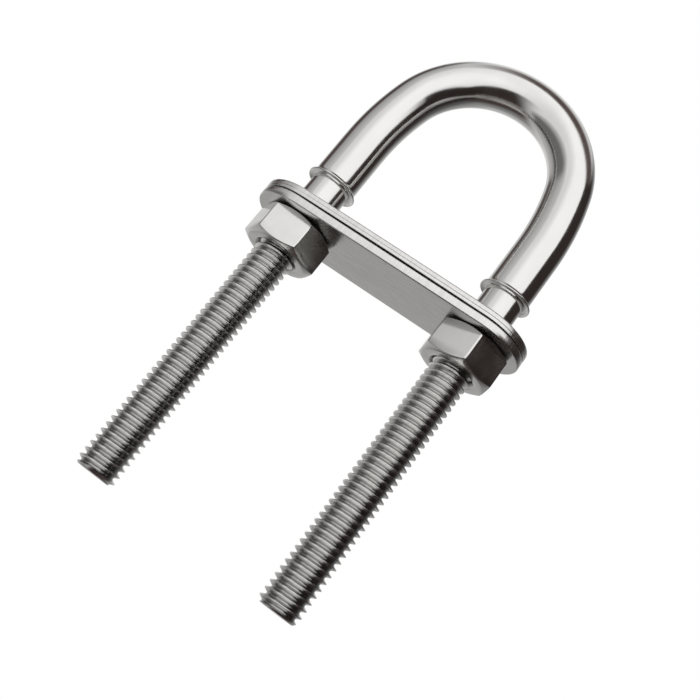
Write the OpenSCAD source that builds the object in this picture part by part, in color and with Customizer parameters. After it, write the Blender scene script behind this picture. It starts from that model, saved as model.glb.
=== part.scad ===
// U-bolt pad eye for a hull or transom: a bent eye rod with two threaded shanks,
// a top plate outside the hull, a backing plate inside it and one hex nut on each shank.
// The origin is midway between the shanks on the top plate's hull-side face.
// +Z runs out of the hull towards the eye and +X runs from the left shank to the right one.

/* [Eye rod] */
// Diameter of the polished eye rod
rod_d = 6.6; // [6.4:0.1:7.2]
// Distance between the two shank centres
leg_spacing = 28.8; // [26:0.2:36]
// Height above the hull face where the legs start to bend
bend_z = 14.2; // [10:0.2:30]
// Bend radius of the flanks on the rod's centre line
flank_r = 40; // [30:1:60]
// Angle that each flank bends before the tighter crown starts
flank_sweep = 15; // [5:1:25]

/* [Collars and necks] */
// Height of the collar's underside above the hull face
collar_z = 6.2; // [4:0.1:9]
// Outside diameter of the collar lip
collar_d = 7.7; // [7.4:0.1:9]
// Thickness of the collar lip at its edge
collar_t = 0.4; // [0.3:0.05:0.8]
// Depth of the dish in the collar's underside
dish_depth = 0.3; // [0.1:0.05:0.4]
// Diameter of the smooth neck below the collar
neck_d = 5.8; // [5.4:0.1:5.8]

/* [Threaded shanks] */
// Diameter over the thread crests
thread_d = 5.9; // [5.8:0.05:6]
// Depth of the shank ends below the hull face
shank_depth = 44.2; // [30:0.2:60]
// Diameter of the shank inside the plates and nuts, between the thread's core and its crests
engaged_d = 5.4; // [5:0.05:5.6]
// Length of shank between a nut's lower face and the free thread
thread_gap = 0.3; // [0.2:0.05:0.5]
// Length of the chamfer on each shank end
end_chamfer = 0.5; // [0.2:0.1:0.8]

/* [Plates] */
// Length of both plates over their round ends
plate_l = 42.5; // [41:0.5:56]
// Width of both plates
plate_w = 13.5; // [12:0.5:18]
// Thickness of each plate
plate_t = 1.2; // [1:0.1:2]
// Diameter of the two holes in each plate
plate_hole_d = 6.2; // [6.1:0.1:6.6]
// Gap between the two plates as the parts are stored
plate_gap = 0.2; // [0.1:0.1:1]

/* [Nuts] */
// Width of a nut across its flats
nut_flats = 10; // [10:0.1:11]
// Height of a nut
nut_h = 5.2; // [4.8:0.1:6]
// Diameter of a nut's bore over the shank
nut_bore_d = 6; // [6:0.02:6.2]
// Depth of the cone at each mouth of a nut's bore
nut_mouth = 0.35; // [0.1:0.05:0.5]
// Diameter of the flat end face left by a nut's corner chamfer
nut_face_d = 9.4; // [9:0.1:9.8]
// Turn of the left nut about its shank
left_nut_turn = 2; // [0:1:59]
// Turn of the right nut about its shank
right_nut_turn = 40; // [0:1:59]

/* [Hidden] */
$fn = 96;
// Half the distance between the shanks
half_spacing = leg_spacing / 2;
// Radius of the crown that meets both flanks tangentially
crown_r = flank_r - (flank_r - half_spacing) / cos(flank_sweep);
// Height of the crown's centre above the hull face
crown_z = bend_z + (flank_r - crown_r) * sin(flank_sweep);
// Distance from the hull face down to the nuts' upper faces
nut_top = plate_gap + plate_t;
// Height of the 30 degree corner chamfer where it leaves the nut's corners
corner_chamfer = (nut_flats / cos(30) - nut_face_d) / 2 * tan(30);
// Length of the cone between the rod and the collar lip
collar_cone = 0.25;
// The flanks are this much thinner than the crown and the legs, and run this far into both
flank_step = 0.02;
flank_overlap = 0.5;
// Amount by which a cutter passes the face it cuts
cut_past = 1;

// One bent stretch of rod, in the plane of the eye
module rod_arc(centre_x, centre_z, radius, start, sweep, diameter) {
    translate([centre_x, 0, centre_z])
        rotate([90, 0, 0])
            rotate([0, 0, start])
                rotate_extrude(angle = sweep)
                    translate([radius, 0])
                        circle(d = diameter);
}

// The gently bent stretch of rod between the right leg and the crown
module right_flank() {
    overlap_angle = flank_overlap / flank_r * 180 / PI;
    rod_arc(half_spacing - flank_r, bend_z, flank_r, -overlap_angle,
            flank_sweep + 2 * overlap_angle, rod_d - flank_step);
}

// One straight leg: rod, collar lip with a dished underside, neck, threaded shank and end chamfer
module leg() {
    lip_top = collar_z + collar_t;
    rotate_extrude()
        polygon([
            [0, bend_z],
            [rod_d / 2, bend_z],
            [rod_d / 2, lip_top + collar_cone],
            [collar_d / 2, lip_top],
            [collar_d / 2, collar_z],
            [neck_d / 2, collar_z + dish_depth],
            [neck_d / 2, plate_t / 2],
            [engaged_d / 2, plate_t / 2],
            [engaged_d / 2, -nut_top - nut_h - thread_gap],
            [thread_d / 2, -nut_top - nut_h - thread_gap],
            [thread_d / 2, end_chamfer - shank_depth],
            [thread_d / 2 - end_chamfer, -shank_depth],
            [0, -shank_depth]
        ]);
}

// Flat bar with round ends and a hole for each shank, from height z upwards
module plate(z) {
    end_x = (plate_l - plate_w) / 2;
    translate([0, 0, z])
        difference() {
            linear_extrude(plate_t)
                union() {
                    square([2 * end_x, plate_w], center = true);
                    for (side = [-1, 1])
                        translate([side * end_x, 0])
                            circle(d = plate_w);
                }
            for (side = [-1, 1])
                translate([side * half_spacing, 0, -cut_past])
                    cylinder(d = plate_hole_d, h = plate_t + 2 * cut_past);
        }
}

// Hex nut with both ends chamfered at 30 degrees and a cone at each mouth of the bore
module hex_nut(side, turn) {
    corner_r = nut_flats / cos(30) / 2;
    face_r = nut_face_d / 2;
    bore_r = nut_bore_d / 2;
    translate([side * half_spacing, 0, -nut_top - nut_h])
        rotate([0, 0, turn])
            difference() {
                intersection() {
                    cylinder(r = corner_r, h = nut_h, $fn = 6);
                    rotate_extrude()
                        polygon([
                            [0, 0],
                            [face_r, 0],
                            [corner_r, corner_chamfer],
                            [corner_r + cut_past, corner_chamfer],
                            [corner_r + cut_past, nut_h - corner_chamfer],
                            [corner_r, nut_h - corner_chamfer],
                            [face_r, nut_h],
                            [0, nut_h]
                        ]);
                }
                translate([0, 0, -cut_past])
                    cylinder(r = bore_r, h = nut_h + 2 * cut_past);
                cylinder(r1 = bore_r + nut_mouth, r2 = bore_r, h = nut_mouth);
                translate([0, 0, nut_h - nut_mouth])
                    cylinder(r1 = bore_r, r2 = bore_r + nut_mouth, h = nut_mouth);
            }
}

// Eye rod, collars, necks and threaded shanks, bent from one bar
module u_bolt() {
    color("gainsboro")
        union() {
            rod_arc(0, crown_z, crown_r, flank_sweep, 180 - 2 * flank_sweep, rod_d);
            right_flank();
            mirror([1, 0, 0])
                right_flank();
            for (side = [-1, 1])
                translate([side * half_spacing, 0, 0])
                    leg();
        }
}

// Plate that bears on the outside of the hull
module top_plate() {
    color("silver")
        plate(0);
}

// Plate that the nuts pull against the inside of the hull
module backing_plate() {
    color("silver")
        plate(-nut_top);
}

// Nut on the left shank
module hex_nut_left() {
    color("lightgray")
        hex_nut(-1, left_nut_turn);
}

// Nut on the right shank
module hex_nut_right() {
    color("lightgray")
        hex_nut(1, right_nut_turn);
}

u_bolt();
top_plate();
backing_plate();
hex_nut_left();
hex_nut_right();
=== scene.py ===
import math

import bmesh
import bpy
import numpy as np
from mathutils import Matrix, Vector


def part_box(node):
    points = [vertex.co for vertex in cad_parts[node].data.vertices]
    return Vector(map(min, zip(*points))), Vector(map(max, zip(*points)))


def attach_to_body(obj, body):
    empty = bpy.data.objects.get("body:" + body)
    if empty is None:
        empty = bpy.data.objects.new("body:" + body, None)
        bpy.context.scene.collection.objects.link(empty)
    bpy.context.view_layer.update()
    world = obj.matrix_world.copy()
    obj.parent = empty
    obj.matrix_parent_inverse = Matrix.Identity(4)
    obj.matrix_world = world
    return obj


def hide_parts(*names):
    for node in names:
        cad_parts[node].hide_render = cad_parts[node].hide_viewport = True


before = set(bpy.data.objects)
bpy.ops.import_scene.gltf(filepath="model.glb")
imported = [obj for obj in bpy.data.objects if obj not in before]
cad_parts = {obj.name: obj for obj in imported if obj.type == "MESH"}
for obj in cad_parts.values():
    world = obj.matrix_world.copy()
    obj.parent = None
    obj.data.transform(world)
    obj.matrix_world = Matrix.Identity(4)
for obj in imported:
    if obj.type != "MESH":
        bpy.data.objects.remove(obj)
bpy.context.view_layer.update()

MM = 0.001
TAU = 2 * math.pi

# ---------------------------------------------------------------- sizes in mm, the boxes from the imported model


def box_mm(node):
    """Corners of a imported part's box, in mm."""
    low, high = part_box(node)
    return np.array(low) / MM, np.array(high) / MM


BOLT_LOW, BOLT_HIGH = box_mm("u_bolt")
NUT_LOW, NUT_HIGH = box_mm("hex_nut_right")

LEG_X = (NUT_LOW[0] + NUT_HIGH[0]) / 2
TIP_Z = BOLT_LOW[2]
CROWN_TOP = BOLT_HIGH[2]

ROD_R = 3.3
BEND_Z = 14.2
FLANK_R = 40.0
FLANK_SWEEP = math.radians(15)
CROWN_Z = BEND_Z + (FLANK_R - LEG_X) * math.tan(FLANK_SWEEP)
CROWN_R = CROWN_TOP - ROD_R - CROWN_Z

PITCH = 1.0
CREST_R = 2.95
CORE_R = 2.34
THREAD_PHASE = {-1: 0.30, 1: 0.05}  # of the left and the right shank, in turns
THREAD_END = 1.0
RUN_OUT = (0.9, 0.8)  # how far below the thread's end it starts to run out, and over what length
TIP_CHAMFER = 0.5
TIP_DIMPLE = ((2.30, 0.0), (2.0, 0.01), (1.2, 0.03), (0.5, 0.06))
TIP_DIMPLE_DEPTH = 0.07
NECK_R = 2.9
NECK_ROWS = (1.6, 2.6, 3.8, 5.0, 6.0)
# Collar: from the neck out along the dished underside, round the lip and back in to the rod, as (radius, z)
COLLAR = (
    (NECK_R + 0.02, 6.30), (NECK_R + 0.10, 6.42), (NECK_R + 0.25, 6.46), (3.40, 6.42), (3.58, 6.32),
    (3.70, 6.23), (3.76, 6.20), (3.81, 6.215), (3.84, 6.26), (3.85, 6.32), (3.835, 6.39), (3.78, 6.45),
    (3.66, 6.50), (3.52, 6.56), (3.42, 6.65), (3.345, 6.80), (3.31, 7.00), (ROD_R, 7.4))
ROD_START = 8.2

PLATE_HOLE_R = 3.1
HOLE_EASE = 0.12
# Rows of a plate's face from the hole (0) to the outline (1), with a narrow one at each end to keep the face flat
FACE_STEPS = (0.0, 0.01, 0.11, 0.22, 0.33, 0.44, 0.56, 0.67, 0.78, 0.89, 0.992, 1.0)
# Edges of the plates as (inset, height), where a height below zero counts down from the upper face
AT_TOP = -1e-9
ROUND_EDGE = ((0.16, 0.0), (0.09, 0.025), (0.035, 0.075), (0.0, 0.16), (0.0, 0.6), (0.0, -0.16), (0.035, -0.075),
              (0.09, -0.025), (0.16, AT_TOP))
# Stamped edge: torn band set back a little, faint step, sheared band, rolled over at the top
STAMPED_EDGE = ((0.12, 0.0), (0.06, 0.02), (0.03, 0.07), (0.03, 0.30), (0.035, 0.46), (0.0, 0.52), (0.0, 0.62),
                (0.0, -0.20), (0.05, -0.09), (0.12, -0.03), (0.20, AT_TOP))
TOP_PLATE_BOW = -0.13

NUT_FLAT_R = 5.0
NUT_FACE_R = 4.7
NUT_CORNER_EASE = 0.28
NUT_CHAMFER = math.radians(30)
NUT_CHAMFER_EASE = 0.07
NUT_SEAT = 0.01  # gap under the backing plate, so that the two faces do not share a plane
MOUTH_R = 3.42
MOUTH_INSET = 0.02
BORE_GAP = 0.05
BORE_CORE_R = 2.47

COLUMNS = 90
# Phases of the rows of one thread pitch, the crest being at 0: two rows round each corner of the profile
ROWS = np.array([-2.7, -1.3, 1.3, 2.7, 7.0, 11.2, 12.9, 19.1, 20.8, 25.0]) / 32

WELD = 2e-7
SLIVER = 1e-8

# ---------------------------------------------------------------- mesh helpers


class Build:
    """Points and faces of one piece in mm, with a material number for each face."""

    def __init__(self):
        self.points, self.faces, self.slots = [], [], []
        self.count = 0

    def add(self, points):
        """Stores points and returns their numbers."""
        points = np.asarray(points, float).reshape(-1, 3)
        self.points.append(points)
        self.count += len(points)
        return np.arange(self.count - len(points), self.count)

    def patch(self, corners, slot, flip):
        """Stores faces given as four point numbers each."""
        corners = corners.reshape(-1, 4)
        self.faces.extend((corners[:, ::-1] if flip else corners).tolist())
        self.slots.extend([slot] * len(corners))

    def quads(self, rows, slot, flip=False, keep=slice(None)):
        """Faces between each two closed rows of point numbers, in the columns to keep."""
        rows = np.asarray(rows)
        after = np.roll(rows, -1, axis=1)
        self.patch(np.stack([rows[:-1], after[:-1], after[1:], rows[1:]], -1)[:, keep], slot, flip)

    def cap(self, row, centre, slot):
        """Triangles from a closed row to a centre point, facing down."""
        middle = int(self.add([centre])[0])
        for a, b in zip(row.tolist(), np.roll(row, -1).tolist()):
            self.faces.append([b, a, middle])
            self.slots.append(slot)

    def finish(self, name, materials, sharp_angle):
        """The object, in metres: welded, and smooth but for edges sharper than sharp_angle degrees."""
        mesh = bpy.data.meshes.new(name)
        mesh.from_pydata((np.concatenate(self.points) * MM).tolist(), [], self.faces)
        for material in materials:
            mesh.materials.append(material)
        mesh.polygons.foreach_set("material_index", np.array(self.slots, np.int32))
        bm = bmesh.new()
        bm.from_mesh(mesh)
        bmesh.ops.remove_doubles(bm, verts=bm.verts, dist=WELD)
        bmesh.ops.dissolve_degenerate(bm, edges=bm.edges, dist=SLIVER)
        limit = math.radians(sharp_angle)
        for face in bm.faces:
            face.smooth = True
        for edge in bm.edges:
            if len(edge.link_faces) == 2 and edge.calc_face_angle(0.0) > limit:
                edge.smooth = False
        bm.to_mesh(mesh)
        bm.free()
        mesh.validate()
        mesh.update()
        obj = bpy.data.objects.new(name, mesh)
        bpy.context.scene.collection.objects.link(obj)
        return obj


def thread_radius(phase):
    """Radius of a 60 degree thread: crest flat an eighth of the pitch wide, root flat a quarter, eased corners."""
    crest_edge, root_edge = 1 / 16, 3 / 8
    near, easing = 0.045, 0.9
    off = np.abs((phase + 0.5) % 1.0 - 0.5)
    t = np.clip((off - crest_edge) / (root_edge - crest_edge), 0, 1)
    eased = np.where(t < near, t * easing, np.where(t > 1 - near, 1 - (1 - t) * easing, t))
    return CREST_R + (CORE_R - CREST_R) * eased


def smooth(t):
    t = np.clip(t, 0, 1)
    return t * t * (3 - 2 * t)


def helix_grid(build, centre_x, angles, z_low, z_high, phase0, radius, slot, flip=False):
    """A right-handed helical surface: rows follow the helix and are cut off square at both ends.
    Returns the point numbers of its lowest and highest rings."""
    per_pitch = len(ROWS)
    spare = 2  # pitches laid out beyond each end before the cut

    def surface(z):
        """Points at the heights z, one column for each angle."""
        r = radius(z, z / PITCH - angles / TAU - phase0)
        return np.stack([centre_x + r * np.cos(angles), r * np.sin(angles), z], -1)

    def to_right(grid):
        """The grid moved by one column, where the last column meets the first one a pitch further up."""
        return np.concatenate([grid[:, 1:], np.roll(grid[:, :1], -per_pitch, axis=0)], axis=1)

    first = math.floor(z_low / PITCH) - spare
    pitches = math.ceil((z_high - z_low) / PITCH) + 2 * spare + 1
    row_z = np.concatenate([(first + k + ROWS + phase0) * PITCH for k in range(pitches)])
    z = np.clip(row_z[:, None] + PITCH * angles / TAU, z_low, z_high)
    ids = build.add(surface(z)).reshape(z.shape)
    right, right_z = to_right(ids), to_right(z)
    corners = np.stack([ids[:-1], right[:-1], right[1:], ids[1:]], -1)
    live = np.ptp(np.stack([z[:-1], right_z[:-1], right_z[1:], z[1:]], -1), axis=-1) > 1e-9
    live[-per_pitch - 1:] = False
    build.patch(corners[live], slot, flip)
    return [build.add(surface(np.full(len(angles), end))) for end in (z_low, z_high)]


def lathe(build, centre_x, angles, profile, slot, start, flip=False):
    """Rings of (radius, z) round a shank's axis, joined to a starting ring. Returns the last ring."""
    rows = [start]
    for r, z in profile:
        ring = [centre_x + r * np.cos(angles), r * np.sin(angles), np.full(len(angles), z)]
        rows.append(build.add(np.stack(ring, -1)))
    build.quads(rows, slot, flip)
    return rows[-1]


# ---------------------------------------------------------------- materials

STEEL = (0.80, 0.79, 0.775)


class Metal:
    """A bare steel and the nodes that its detail is made of."""

    def __init__(self, name):
        self.material = bpy.data.materials.new(name)
        self.material.use_nodes = True
        self.tree = self.material.node_tree
        self.shader = self.tree.nodes["Principled BSDF"]
        self.shader.inputs["Metallic"].default_value = 1.0
        self.coords = self.tree.nodes.new("ShaderNodeTexCoord").outputs["Object"]
        split = self.tree.nodes.new("ShaderNodeSeparateXYZ")
        self.tree.links.new(self.coords, split.inputs[0])
        self.x, self.y, self.z = split.outputs

    def noise(self, scale, detail, stretch=(1, 1, 1)):
        """Noise with its pattern drawn out along each axis whose stretch is below 1."""
        mapping = self.tree.nodes.new("ShaderNodeMapping")
        mapping.inputs["Scale"].default_value = stretch
        self.tree.links.new(self.coords, mapping.inputs["Vector"])
        noise = self.tree.nodes.new("ShaderNodeTexNoise")
        self.tree.links.new(mapping.outputs[0], noise.inputs["Vector"])
        for key, value in (("Scale", scale), ("Detail", detail), ("Roughness", 0.55)):
            noise.inputs[key].default_value = value
        return noise.outputs["Fac"]

    def spread(self, value, low, high, from_low=0.3, from_high=0.7):
        """The value's range from_low to from_high as low to high, held at both ends."""
        node = self.tree.nodes.new("ShaderNodeMapRange")
        self.tree.links.new(value, node.inputs["Value"])
        for key, number in (("From Min", from_low), ("From Max", from_high), ("To Min", low), ("To Max", high)):
            node.inputs[key].default_value = number
        return node.outputs["Result"]

    def maths(self, operation, a, b=0.0):
        node = self.tree.nodes.new("ShaderNodeMath")
        node.operation = operation
        for socket, value in zip(node.inputs, (a, b)):
            if isinstance(value, bpy.types.NodeSocket):
                self.tree.links.new(value, socket)
            else:
                socket.default_value = value
        return node.outputs[0]

    def add(self, a, b):
        return self.maths("ADD", a, b)

    def times(self, a, b):
        return self.maths("MULTIPLY", a, b)

    def reach(self):
        """Distance from the nearer shank's axis, in metres."""
        off = self.maths("SUBTRACT", self.maths("ABSOLUTE", self.x), LEG_X * MM)
        return self.maths("POWER", self.add(self.times(off, off), self.times(self.y, self.y)), 0.5)

    def colour(self, factor, dark, light):
        """Steel colour from dark to light, each as a share of the plain colour."""
        node = self.tree.nodes.new("ShaderNodeMix")
        node.data_type = "RGBA"
        self.tree.links.new(factor, node.inputs["Factor"])
        for socket in node.inputs:
            if socket.type == "RGBA":
                share = dark if socket.name == "A" else light
                socket.default_value = (*(min(1.0, c * share) for c in STEEL), 1)
        result = next(o for o in node.outputs if o.type == "RGBA")
        self.tree.links.new(result, self.shader.inputs["Base Color"])

    def rough(self, value):
        self.tree.links.new(value, self.shader.inputs["Roughness"])

    def bump(self, height, strength, distance):
        node = self.tree.nodes.new("ShaderNodeBump")
        self.tree.links.new(height, node.inputs["Height"])
        node.inputs["Strength"].default_value = strength
        node.inputs["Distance"].default_value = distance
        self.tree.links.new(node.outputs[0], self.shader.inputs["Normal"])


def polished_steel():
    """Mirror-polished rod: faint orange peel from the bending, fine polishing lines and a few wipe marks."""
    m = Metal("polished_rod")
    peel = m.noise(260, 2.0)
    lines = m.noise(5200, 2.0, (1, 1, 0.06))
    wipe = m.noise(340, 4.0, (1, 1, 0.35))
    m.rough(m.add(m.spread(wipe, 0.11, 0.17), m.spread(lines, -0.02, 0.03)))
    m.colour(m.spread(wipe, 0, 1), 0.97, 1.03)
    m.bump(m.add(m.times(peel, 0.55), m.times(lines, 0.10)), 0.12, 0.00012)
    return m.material


def thread_steel():
    """Rolled thread: painted highlight on the crests, fine lines round the shank, painted shade in the roots."""
    m = Metal("rolled_thread")
    spin = m.noise(1900, 3.0, (1, 1, 5))
    blot = m.noise(620, 4.0)
    m.rough(m.add(m.spread(blot, 0.13, 0.24), m.spread(spin, -0.03, 0.04)))
    # Painted shade and painted highlight: colour darker towards the thread's roots and lighter at its crests, by
    # distance from the shank's axis
    depth = m.add(m.reach(), m.spread(blot, -0.00006, 0.00006))
    m.colour(m.spread(depth, 0.0, 1.0, (CORE_R + 0.05) * MM, (CREST_R - 0.05) * MM), 0.55, 1.12)
    m.bump(m.add(m.times(spin, 0.4), m.noise(1700, 2.0)), 0.30, 0.00006)
    return m.material


def satin_steel():
    """Satin plate face: fine lengthwise grain with soft cloudy patches."""
    m = Metal("satin_plate")
    grain = m.noise(5200, 3.0, (0.05, 1, 1))
    cloud = m.noise(210, 4.0)
    m.rough(m.add(m.spread(cloud, 0.24, 0.34), m.spread(grain, -0.04, 0.05)))
    m.colour(m.spread(cloud, 0, 1), 0.90, 0.98)
    m.bump(m.add(grain, m.times(cloud, 0.4)), 0.22, 0.00003)
    return m.material


def edge_steel():
    """Stamped plate edge: short upright shear marks."""
    m = Metal("stamped_edge")
    shear = m.noise(3300, 3.0, (1, 1, 0.10))
    blot = m.noise(900, 3.0)
    m.rough(m.add(m.spread(blot, 0.18, 0.28), m.spread(shear, -0.04, 0.06)))
    m.colour(m.spread(shear, 0, 1), 0.88, 1.04)
    m.bump(shear, 0.35, 0.00004)
    return m.material


def nut_steel():
    """Cold-formed nut, bright flats with faint upright drawing marks."""
    m = Metal("bright_nut")
    draw = m.noise(2600, 3.0, (1, 1, 0.12))
    cloud = m.noise(330, 4.0)
    m.rough(m.add(m.spread(cloud, 0.11, 0.20), m.spread(draw, -0.02, 0.03)))
    m.colour(m.spread(cloud, 0, 1), 0.93, 1.02)
    m.bump(m.add(m.times(cloud, 0.6), m.times(draw, 0.25)), 0.16, 0.00005)
    return m.material


def turned_steel():
    """Turned faces and countersinks of the nuts: fine rings, with painted shade in the bore and under the plate."""
    m = Metal("turned_face")
    spin = m.noise(2400, 3.0, (1, 1, 6))
    blot = m.noise(500, 3.0)
    m.rough(m.add(m.spread(blot, 0.20, 0.32), m.spread(spin, -0.04, 0.04)))
    # Painted shade: colour dark inside the bore and on the top end, next to the backing plate
    clear_of_bore_shade = m.spread(m.reach(), 0.0, 1.0, 0.00300, 0.00348)
    below = m.spread(m.z, 1.0, 0.0, (NUT_HIGH[2] - 0.55) * MM, (NUT_HIGH[2] - 0.25) * MM)
    m.colour(m.add(m.times(clear_of_bore_shade, below), m.spread(blot, -0.06, 0.06)), 0.22, 0.95)
    m.bump(spin, 0.2, 0.00003)
    return m.material


POLISHED, THREAD, SATIN = polished_steel(), thread_steel(), satin_steel()
EDGE, NUT, TURNED = edge_steel(), nut_steel(), turned_steel()


def attach(obj, node, body):
    """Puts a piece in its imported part's place, on its body."""
    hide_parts(node)
    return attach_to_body(obj, body)


# ---------------------------------------------------------------- eye rod


def shank_profile(z, phase):
    """Thread with a chamfered end, running out into the smooth neck above the plates."""
    start, length = RUN_OUT
    r = np.minimum(thread_radius(phase), CREST_R - TIP_CHAMFER + (z - TIP_Z))
    out = smooth((z - (THREAD_END - start)) / length)
    return r * (1 - out) + NECK_R * out


def arch_line():
    """Centre x, centre z, radius and angle of each ring of the arch, over its right flank, crown and left flank."""
    flank_rows, crown_rows = 13, 97
    sweeps = (
        (LEG_X - FLANK_R, BEND_Z, FLANK_R, np.linspace(0, FLANK_SWEEP, flank_rows)),
        (0.0, CROWN_Z, CROWN_R, np.linspace(FLANK_SWEEP, math.pi - FLANK_SWEEP, crown_rows)),
        (FLANK_R - LEG_X, BEND_Z, FLANK_R, np.linspace(math.pi - FLANK_SWEEP, math.pi, flank_rows)))
    return [(x, z, radius, t) for x, z, radius, turns in sweeps for t in turns[1:]]


def make_u_bolt():
    build = Build()
    angles = np.arange(COLUMNS) * TAU / COLUMNS
    tops = {}
    for side, phase0 in THREAD_PHASE.items():
        x = side * LEG_X
        low, high = helix_grid(build, x, angles, TIP_Z, THREAD_END, phase0, shank_profile, 1)
        dimple = [(r, TIP_Z + depth) for r, depth in TIP_DIMPLE]
        build.cap(lathe(build, x, angles, dimple, 1, low, flip=True), (x, 0, TIP_Z + TIP_DIMPLE_DEPTH), 1)
        profile = [(NECK_R, z) for z in NECK_ROWS] + list(COLLAR)
        profile += [(ROD_R, z) for z in np.linspace(ROD_START, BEND_Z, 8)]
        tops[side] = lathe(build, x, angles, profile, 0, high)
    across = np.array([0, 1, 0])
    rows = [tops[1]]
    for x, z, radius, t in arch_line():
        out = np.array([math.cos(t), 0, math.sin(t)])
        ring = np.cos(angles)[:, None] * out + np.sin(angles)[:, None] * across
        rows.append(build.add(np.array([x, 0, z]) + radius * out + ROD_R * ring))
    build.quads(rows, 0)
    obj = build.finish("eye_rod", [POLISHED, THREAD], sharp_angle=48)
    attach(obj, "u_bolt", "u_bolt")


# ---------------------------------------------------------------- plates


def half_outline(half_l, half_w, per_arc=40, per_side=16, per_middle=12):
    """The right half of a round-ended bar, anticlockwise from the middle of its front side: x, y, the outward
    normal, and 1 on the outline or 0 on the line between the halves, where the normal has no x."""
    end_x = half_l - half_w
    points = [(x, -half_w, 0, -1, 1) for x in np.linspace(0, end_x, per_side + 1)[:-1]]
    for t in np.linspace(-math.pi / 2, math.pi / 2, per_arc + 1)[:-1]:
        points.append((end_x + half_w * math.cos(t), half_w * math.sin(t), math.cos(t), math.sin(t), 1))
    points += [(x, half_w, 0, 1, 1) for x in np.linspace(end_x, 0, per_side + 1)]
    points += [(0, y, 0, y / half_w, 0) for y in np.linspace(half_w, -half_w, per_middle + 1)[1:-1]]
    return np.array(points)


def make_plate(name, node, body, edge_profile, bow):
    """A round-ended plate with two eased holes, its ends bowed in z by bow. It is built in two halves."""
    low, high = box_mm(node)
    half_l, half_w = high[:2]
    z0, z1 = low[2], high[2]
    outline = half_outline(half_l, half_w)
    edge, normal, on_edge = outline[:, :2], outline[:, 2:4], outline[:, 4] > 0
    angle = np.arctan2(edge[:, 1], edge[:, 0] - LEG_X)
    build = Build()
    for side in (1, -1):
        flip = side < 0

        def row(xy, z):
            x, y = xy.T
            return build.add(np.stack([side * x, y, z + bow * (x / half_l) ** 2], -1))

        def circle(r):
            return np.stack([LEG_X + r * np.cos(angle), r * np.sin(angle)], -1)

        hole_rings = []
        for z, up, inset in ((z1, True, edge_profile[-1][0]), (z0, False, edge_profile[0][0])):
            inner, outer = circle(PLATE_HOLE_R + HOLE_EASE), edge - inset * normal
            rows = [row(inner * (1 - t) + outer * t, z) for t in FACE_STEPS]
            build.quads(rows, 0, up != flip)
            hole_rings.append(rows[0])
        rows = [row(edge - inset * normal, z0 + dz if dz >= 0 else z1 + dz) for inset, dz in edge_profile]
        build.quads(rows, 1, flip, on_edge & np.roll(on_edge, -1))
        wall = ((0.04, z0 + 0.035), (0.0, z0 + HOLE_EASE), (0.0, (z0 + z1) / 2), (0.0, z1 - HOLE_EASE),
                (0.04, z1 - 0.035))
        rows = [row(circle(PLATE_HOLE_R + ease), z) for ease, z in wall]
        build.quads([hole_rings[1], *rows, hole_rings[0]], 1, not flip)
    obj = build.finish(name, [SATIN, EDGE], sharp_angle=30)
    attach(obj, node, body)


# ---------------------------------------------------------------- nuts


def hexagon(turn):
    """Angles round a nut's axis and its distance there, the hexagon being turned and its corners eased. The angles
    are close together round each corner."""
    sixth, half = 60, math.pi / 6
    by_corner = (-2.6, -1.9, -1.2, -0.6, 0.0, 0.6, 1.2, 1.9, 2.6)
    across_flat = np.linspace(by_corner[-1], sixth - by_corner[-1], 20)[1:-1]
    one = np.concatenate([by_corner, across_flat])
    local = np.radians(np.concatenate([one + sixth * k for k in range(6)]))
    angles = (local + math.radians(turn)) % TAU
    order = np.argsort(angles)
    angles, local = angles[order], local[order]
    off = (local + half) % (2 * half) - half
    sharp = NUT_FLAT_R / np.cos(half - np.abs(off))
    arc_centre = (NUT_FLAT_R - NUT_CORNER_EASE) / math.cos(half)
    depth = np.maximum(NUT_CORNER_EASE ** 2 - (arc_centre * np.sin(off)) ** 2, 0)
    eased = arc_centre * np.cos(off) + np.sqrt(depth)
    tangent = math.atan2(NUT_CORNER_EASE * math.sin(half), arc_centre + NUT_CORNER_EASE * math.cos(half))
    return angles, np.where(np.abs(off) < tangent, np.minimum(eased, sharp), sharp)


def make_nut(name, node, body, side, turn):
    """A hexagon nut, chamfered at both ends, with the thread of its shank in its bore."""
    low, high = box_mm(node)
    z0, z1 = low[2], high[2] - NUT_SEAT
    x = side * LEG_X
    angles, outer = hexagon(turn)
    slope = math.tan(NUT_CHAMFER)
    rise = (outer - NUT_FACE_R) * slope
    ease = NUT_CHAMFER_EASE
    build = Build()

    def ring(r, z):
        return build.add(np.stack([x + r * np.cos(angles), r * np.sin(angles), np.broadcast_to(z, angles.shape)], -1))

    def bore(z, phase):
        r = np.maximum(thread_radius(phase) + BORE_GAP, BORE_CORE_R)
        return np.maximum(np.maximum(r, MOUTH_R - (z - z0)), MOUTH_R - (z1 - z))

    def end_rings(z, into):
        """Rings of one end from the bore's mouth outwards, into being the direction into the nut."""
        rings = [(MOUTH_R + 0.03, 0), (3.9, 0), (NUT_FACE_R - 0.10, 0), (NUT_FACE_R - 0.03, 0.012),
                 (NUT_FACE_R + 0.05, 0.012 + 0.05 * slope),
                 (outer - ease * math.cos(NUT_CHAMFER), rise - ease * math.sin(NUT_CHAMFER)),
                 (outer - 0.25 * ease, rise + 0.07 * ease), (outer, rise + ease)]
        rings = [ring(r, z + into * depth) for r, depth in rings]
        return rings[:6], rings[5:]

    low_ring, high_ring = helix_grid(build, x, angles, z0 + MOUTH_INSET, z1 - MOUTH_INSET, THREAD_PHASE[side],
                                     bore, 1, flip=True)
    low_face, low_side = end_rings(z0, 1)
    high_face, high_side = end_rings(z1, -1)
    flats = [ring(outer, z0 + share * (z1 - z0)) for share in (0.3, 0.7)]
    build.quads([low_ring, *low_face], 1)
    build.quads([*low_side, *flats, *high_side[::-1]], 0)
    build.quads([*high_face[::-1], high_ring], 1)
    obj = build.finish(name, [NUT, TURNED], sharp_angle=38)
    attach(obj, node, body)


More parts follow.
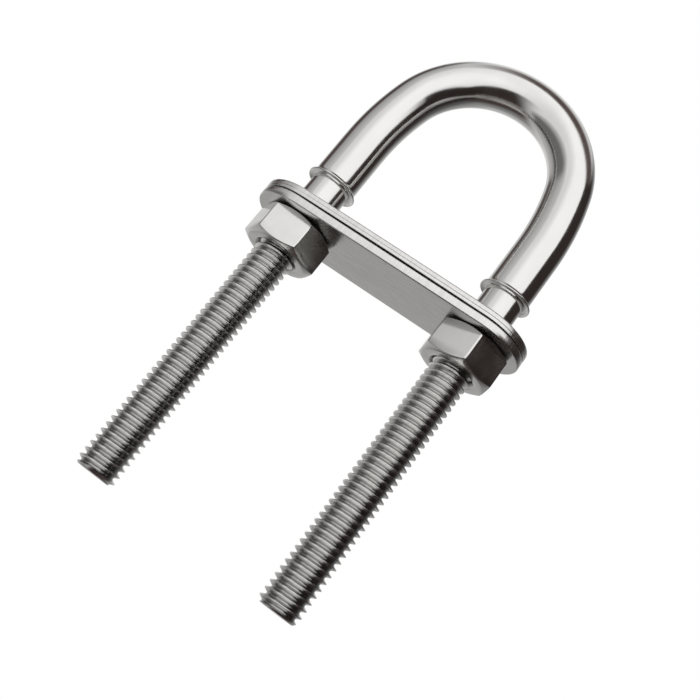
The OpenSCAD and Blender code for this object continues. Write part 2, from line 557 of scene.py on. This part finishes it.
make_u_bolt()
make_plate("outer_plate", "top_plate", "top_plate", STAMPED_EDGE, TOP_PLATE_BOW)
make_plate("inner_plate", "backing_plate", "backing_plate", ROUND_EDGE, 0.0)
make_nut("left_nut", "hex_nut_left", "nut_left", -1, turn=2)
make_nut("right_nut", "hex_nut_right", "nut_right", 1, turn=40)

# ---------------------------------------------------------------- camera

CAM_AT = Vector((27.11, -119.1, -47.42)) * MM
CAM_TO = Vector((1.95, 0.0, -11.84)) * MM
CAM_ROLL = math.radians(37.68)
CAM_LENS = 49.62
CAM_SENSOR = 36

scene = bpy.context.scene


def make_camera():
    forward = (CAM_TO - CAM_AT).normalized()
    level = forward.cross(Vector((0, 0, 1))).normalized()
    upright = level.cross(forward)
    right = level * math.cos(CAM_ROLL) + upright * math.sin(CAM_ROLL)
    up = upright * math.cos(CAM_ROLL) - level * math.sin(CAM_ROLL)
    camera = bpy.data.objects.new("camera", bpy.data.cameras.new("camera"))
    camera.data.sensor_width = CAM_SENSOR
    camera.data.lens = CAM_LENS
    camera.data.clip_start, camera.data.clip_end = 0.005, 20
    camera.matrix_world = Matrix((*([right[k], up[k], -forward[k], CAM_AT[k]] for k in range(3)), (0, 0, 0, 1)))
    scene.collection.objects.link(camera)
    scene.camera = camera


make_camera()

# ---------------------------------------------------------------- floor

FLOOR_R = 0.42
FLOOR_Z = -0.165
FLOOR_SIDES = 96


def make_floor():
    """A pale disc that glows a little, and more towards its rim, where it meets the white surroundings."""
    mesh = bpy.data.meshes.new("floor")
    turns = [TAU * k / FLOOR_SIDES for k in range(FLOOR_SIDES)]
    mesh.from_pydata([(FLOOR_R * math.cos(t), FLOOR_R * math.sin(t), FLOOR_Z) for t in turns], [],
                     [list(range(FLOOR_SIDES))])
    floor = bpy.data.objects.new("floor", mesh)
    scene.collection.objects.link(floor)
    material = bpy.data.materials.new("pale_floor")
    material.use_nodes = True
    mesh.materials.append(material)
    tree = material.node_tree
    shader = tree.nodes["Principled BSDF"]
    shader.inputs["Base Color"].default_value = (0.9, 0.9, 0.9, 1)
    shader.inputs["Roughness"].default_value = 0.9
    shader.inputs["Emission Color"].default_value = (1, 1, 1, 1)
    flat = tree.nodes.new("ShaderNodeMapping")
    flat.inputs["Scale"].default_value = (1, 1, 0)
    tree.links.new(tree.nodes.new("ShaderNodeTexCoord").outputs["Object"], flat.inputs["Vector"])
    length = tree.nodes.new("ShaderNodeVectorMath")
    length.operation = "LENGTH"
    tree.links.new(flat.outputs[0], length.inputs[0])
    glow = tree.nodes.new("ShaderNodeMapRange")
    for key, value in (("From Min", 0.10), ("From Max", FLOOR_R * 0.97), ("To Min", 0.40), ("To Max", 0.72)):
        glow.inputs[key].default_value = value
    tree.links.new(length.outputs["Value"], glow.inputs["Value"])
    tree.links.new(glow.outputs["Result"], shader.inputs["Emission Strength"])
    floor.visible_glossy = False


make_floor()

# ---------------------------------------------------------------- light and surroundings

STUDIO_STRENGTH = 1.27

# Brightness by direction. Round the upright axis 0 is towards the camera and positive to its right, in degrees:
# AROUND holds above 21 degrees of elevation, and AROUND_LOW below 9.
AROUND = (
    (-180, 0.72), (-150, 0.62), (-138, 0.12), (-126, 0.05), (-109, 0.05), (-98, 0.30), (-62, 0.43), (-50, 0.78),
    (-12, 0.92), (30, 1.0), (46, 1.0), (54, 0.02), (112, 0.02), (126, 0.12), (150, 0.35), (180, 0.72))
AROUND_LOW = (
    (-180, 0.55), (-168, 0.62), (-130, 0.35), (-105, 0.12), (-72, 0.12), (-58, 0.35), (-44, 1.0), (8, 1.0),
    (22, 0.75), (34, 0.015), (100, 0.015), (120, 0.08), (150, 0.25), (180, 0.55))
LOW_SHARE = ((-90, 1.0), (9, 1.0), (21, 0.0), (90, 0.0))
# Over the top 0 is level towards the camera, 90 straight up and -90 straight down.
OVER = (
    (-180, 0.42), (-160, 0.37), (-145, 0.20), (-131, 0.14), (-121, 0.04), (-50, 0.02), (-33, 0.02), (-25, 0.75),
    (0, 0.86), (55, 0.86), (66, 0.06), (88, 0.06), (102, 0.45), (125, 0.75), (145, 0.35), (165, 0.62), (180, 0.60))
# How much of AROUND is left near straight up and straight down, by elevation
AROUND_SHARE = ((-90, 0.0), (-75, 0.0), (-50, 1.0), (50, 1.0), (75, 0.0), (90, 0.0))
# Where OVER gives way to an even grey on the camera's left, by the sideways part of the direction
LEFT_SHARE = ((-1, 1.0), (-0.66, 1.0), (-0.20, 0.0), (1, 0.0))
LEFT_GREY = 0.62
# Darks below WARM_BELOW are a little warm
WARM_BELOW, WARMTH, COOLING = 0.08, 1.3, 0.3


def make_world():
    """Plain white to the camera, and soft light and dark studio bands for light and reflections."""
    world = bpy.data.worlds.new("studio")
    scene.world = world
    world.use_nodes = True
    tree = world.node_tree
    tree.nodes.clear()

    def new(kind, *inputs, **settings):
        """A node's first output, with its first inputs linked or set."""
        node = tree.nodes.new(kind)
        for key, value in settings.items():
            setattr(node, key, value)
        for socket, value in zip(node.inputs, inputs):
            if isinstance(value, bpy.types.NodeSocket):
                tree.links.new(value, socket)
            else:
                socket.default_value = value
        return node.outputs[0]

    def maths(operation, *inputs):
        return new("ShaderNodeMath", *inputs, operation=operation)

    def weighted(a, weight_a, b, weight_b):
        return maths("ADD", maths("MULTIPLY", a, weight_a), maths("MULTIPLY", b, weight_b))

    def scaled(value, reach):
        """The range -reach to reach as 0 to 1."""
        return maths("ADD", maths("MULTIPLY", value, 0.5 / reach), 0.5)

    def ramp(value, stops, reach):
        """Grey level as a function of a value scaled from -reach to reach."""
        node = tree.nodes.new("ShaderNodeValToRGB")
        tree.links.new(value, node.inputs[0])
        node.color_ramp.interpolation = "EASE"
        elements = node.color_ramp.elements
        places = [0.5 + place * 0.5 / reach for place, _ in stops]
        elements[0].position, elements[1].position = places[0], places[-1]
        for place in places[1:-1]:
            elements.new(place)
        for element, (_, grey) in zip(elements, stops):
            warm = WARMTH if grey < WARM_BELOW else 1.0
            element.color = (grey * warm, grey, grey / warm ** COOLING, 1)
        return node.outputs[0]

    def mix(factor, a, b, kind="MIX"):
        colours = [v if isinstance(v, bpy.types.NodeSocket) else (v, v, v, 1) for v in (a, b)]
        return new("ShaderNodeMixRGB", factor, *colours, blend_type=kind)

    split = tree.nodes.new("ShaderNodeSeparateXYZ")
    tree.links.new(tree.nodes.new("ShaderNodeTexCoord").outputs["Generated"], split.inputs[0])
    dx, dy, dz = split.outputs
    front = math.atan2(CAM_AT.x - CAM_TO.x, CAM_TO.y - CAM_AT.y)
    ahead = weighted(dx, math.sin(front), dy, -math.cos(front))
    aside = weighted(dx, math.cos(front), dy, math.sin(front))
    elevation = scaled(maths("ARCSINE", dz), math.pi / 2)
    turned = scaled(maths("ARCTAN2", aside, ahead), math.pi)
    pitched = scaled(maths("ARCTAN2", dz, ahead), math.pi)

    around = mix(ramp(elevation, LOW_SHARE, 90), ramp(turned, AROUND, 180), ramp(turned, AROUND_LOW, 180))
    around = mix(ramp(elevation, AROUND_SHARE, 90), 1.0, around)
    over = mix(ramp(scaled(aside, 1), LEFT_SHARE, 1), ramp(pitched, OVER, 180), LEFT_GREY)
    studio = new("ShaderNodeBackground", mix(1.0, around, over, "DARKEN"), STUDIO_STRENGTH)
    white = new("ShaderNodeBackground", (1, 1, 1, 1), 1.0)
    seen = tree.nodes.new("ShaderNodeLightPath").outputs["Is Camera Ray"]
    output = tree.nodes.new("ShaderNodeOutputWorld")
    tree.links.new(new("ShaderNodeMixShader", seen, studio, white), output.inputs[0])


make_world()
scene.view_settings.view_transform = "Standard"
scene.view_settings.look = "None"
